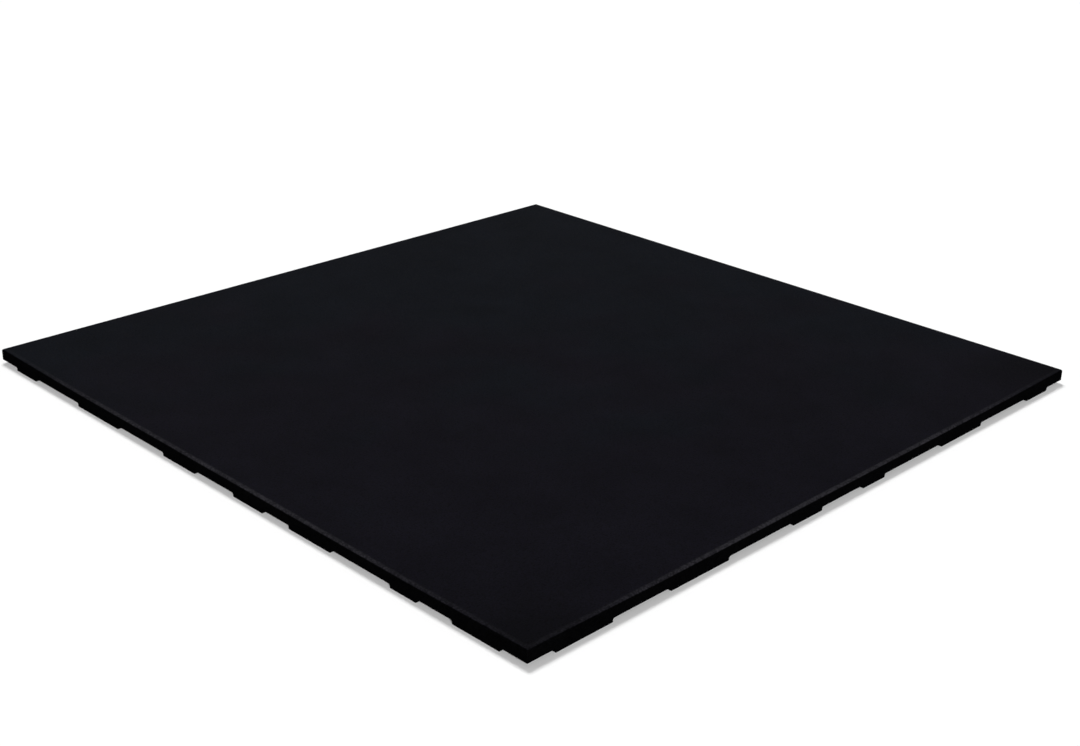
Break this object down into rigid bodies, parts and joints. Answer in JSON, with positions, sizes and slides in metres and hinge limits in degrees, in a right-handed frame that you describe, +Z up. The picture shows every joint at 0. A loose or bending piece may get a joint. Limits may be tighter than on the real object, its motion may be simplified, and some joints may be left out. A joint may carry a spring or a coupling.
{
  "type": "rubber gym floor tile",
  "caption": "Square black rubber gym floor tile, one moulded slab with rounded top edges and an underside of feet between drainage channels.",
  "frame": {"origin": "middle of the tile's footprint, on the floor that the tile lies on", "axes": "+Z up, out of the walking face; +X and -Y are the outward directions of the two edges that meet at the front corner"},
  "size_m": [1, 1, 0.02],
  "materials": {
    "black_rubber": "matte, fine bonded crumb"
  },
  "bodies": {
    "root": {"rubber_tile": "black_rubber"}
  },
  "joints": []
}
